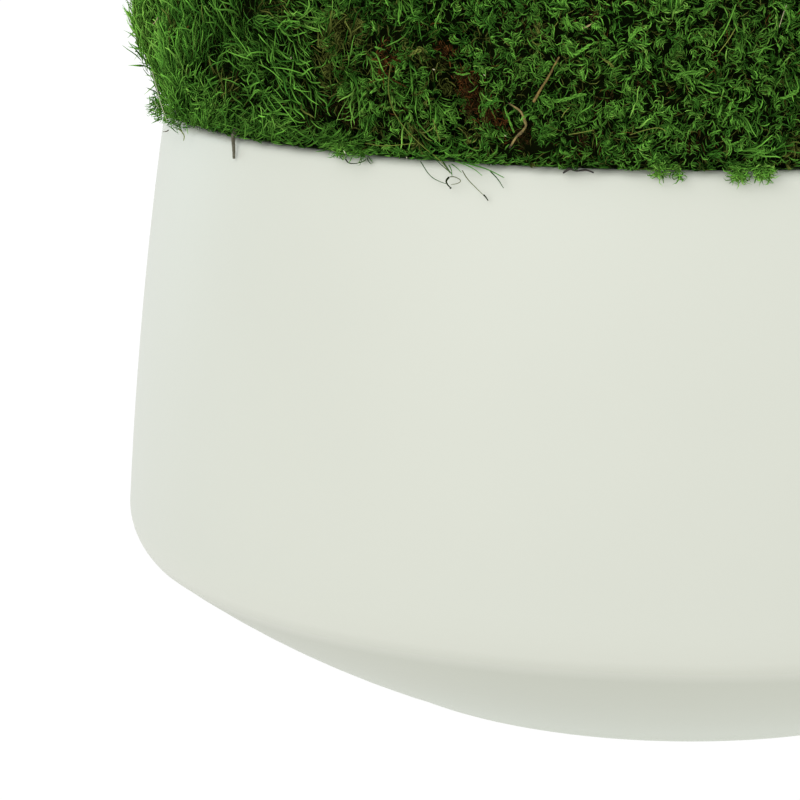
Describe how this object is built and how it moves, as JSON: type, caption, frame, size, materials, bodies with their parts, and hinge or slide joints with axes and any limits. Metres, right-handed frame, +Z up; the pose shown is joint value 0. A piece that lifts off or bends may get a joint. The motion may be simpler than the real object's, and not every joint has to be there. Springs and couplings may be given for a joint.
{
  "type": "moss bowl garden",
  "caption": "High dome of preserved mood moss and sheet moss with bits of twig, seated on a foam form in a wide white ceramic bowl that swells to a soft crease above a small foot.",
  "frame": {"origin": "middle of the base, on the surface that the bowl stands on", "axes": "+Z up along the bowl's axis; -Y towards the viewer of the picture, +X to the viewer's right"},
  "size_m": [0.3337, 0.3336, 0.2989],
  "materials": {
    "white_satin_ceramic": "satin",
    "green_dry_foam": "matte",
    "side_moss": "matte",
    "shoulder_moss": "matte",
    "crown_moss": "matte",
    "dry_twig_bark": "matte"
  },
  "bodies": {
    "root": {"bowl": "white_satin_ceramic", "foam_form": "green_dry_foam", "moss_side_01": "side_moss", "moss_side_02": "side_moss", "moss_side_03": "side_moss", "moss_side_04": "side_moss", "moss_side_05": "side_moss", "moss_side_06": "side_moss", "moss_side_07": "side_moss", "moss_side_08": "side_moss", "moss_side_09": "side_moss", "moss_side_10": "side_moss", "moss_shoulder_01": "shoulder_moss", "moss_shoulder_02": "shoulder_moss", "moss_shoulder_03": "shoulder_moss", "moss_shoulder_04": "shoulder_moss", "moss_shoulder_05": "shoulder_moss", "moss_crown": "crown_moss", "twig_straight": "dry_twig_bark", "twig_crooked": "dry_twig_bark", "twig_rim": "dry_twig_bark"}
  },
  "joints": []
}
